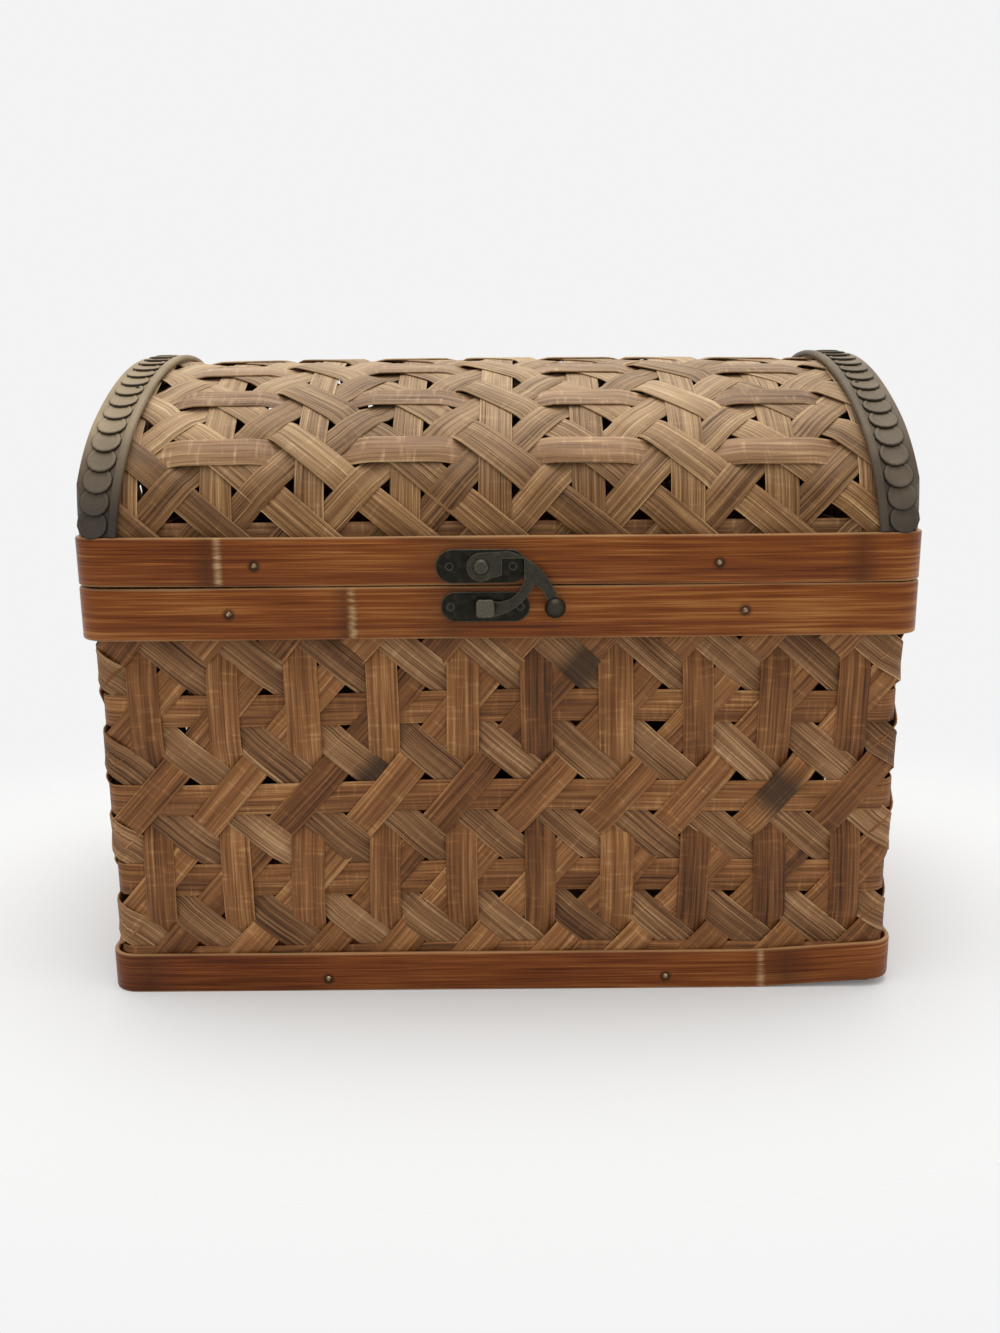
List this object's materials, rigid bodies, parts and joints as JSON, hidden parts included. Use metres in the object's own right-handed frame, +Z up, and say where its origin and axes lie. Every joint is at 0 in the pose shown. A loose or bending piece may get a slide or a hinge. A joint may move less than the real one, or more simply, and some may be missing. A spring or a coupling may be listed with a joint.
{
  "type": "rattan trunk",
  "caption": "Small woven rattan trunk with bamboo bands, a hinged barrel lid and a bronze swing-hook latch on the front.",
  "frame": {"origin": "middle of the base, on the surface that the trunk stands on", "axes": "+X along the trunk's length to the right as seen from the front, +Y towards the hinges at the back, +Z up"},
  "size_m": [0.266, 0.1748, 0.2082],
  "materials": {
    "weave": "satin split bamboo weave",
    "bamboo": "varnished bamboo strip",
    "base_board": "plain thin board",
    "edge_trim": "embossed leather strip",
    "nails": "dull brass",
    "bronze": "antique bronze"
  },
  "bodies": {
    "body": {"base_panel": "base_board", "base_outer_band": "bamboo", "base_inner_band": "bamboo", "body_woven_wall": "weave", "rim_outer_band": "bamboo", "rim_inner_band": "bamboo", "base_band_nails": "nails", "rim_band_nails": "nails", "keeper_plate": "bronze", "keeper_stud": "bronze", "keeper_nails": "bronze", "hinge_body_nails": "bronze", "hinge_left_body_leaf": "bronze", "hinge_right_body_leaf": "bronze", "hinge_left_pin": "bronze", "hinge_right_pin": "bronze"},
    "lid": {"lid_woven_dome": "weave", "lid_woven_end_left": "weave", "lid_woven_end_right": "weave", "lid_outer_band": "bamboo", "lid_inner_band": "bamboo", "lid_arch_bow_left": "bamboo", "lid_arch_bow_right": "bamboo", "lid_edge_trim_left": "edge_trim", "lid_edge_trim_right": "edge_trim", "lid_trim_pins": "nails", "lid_band_nails": "nails", "latch_plate": "bronze", "latch_plate_nails": "bronze", "latch_pivot_rivet": "bronze", "hinge_left_lid_leaf": "bronze", "hinge_right_lid_leaf": "bronze", "hinge_lid_nails": "bronze"},
    "hook": {"latch_hook": "bronze"}
  },
  "joints": [
    {"name": "lid_hinge", "type": "hinge", "parent": "body", "child": "lid", "pos_m": [0, 0.0843, 0.1372], "axis": [-1, 0, 0], "range_deg": [0, 110]},
    {"name": "hook_swing", "type": "hinge", "parent": "lid", "child": "hook", "pos_m": [-0.0054, -0.084, 0.1433], "axis": [0, -1, 0], "range_deg": [0, 110]}
  ]
}
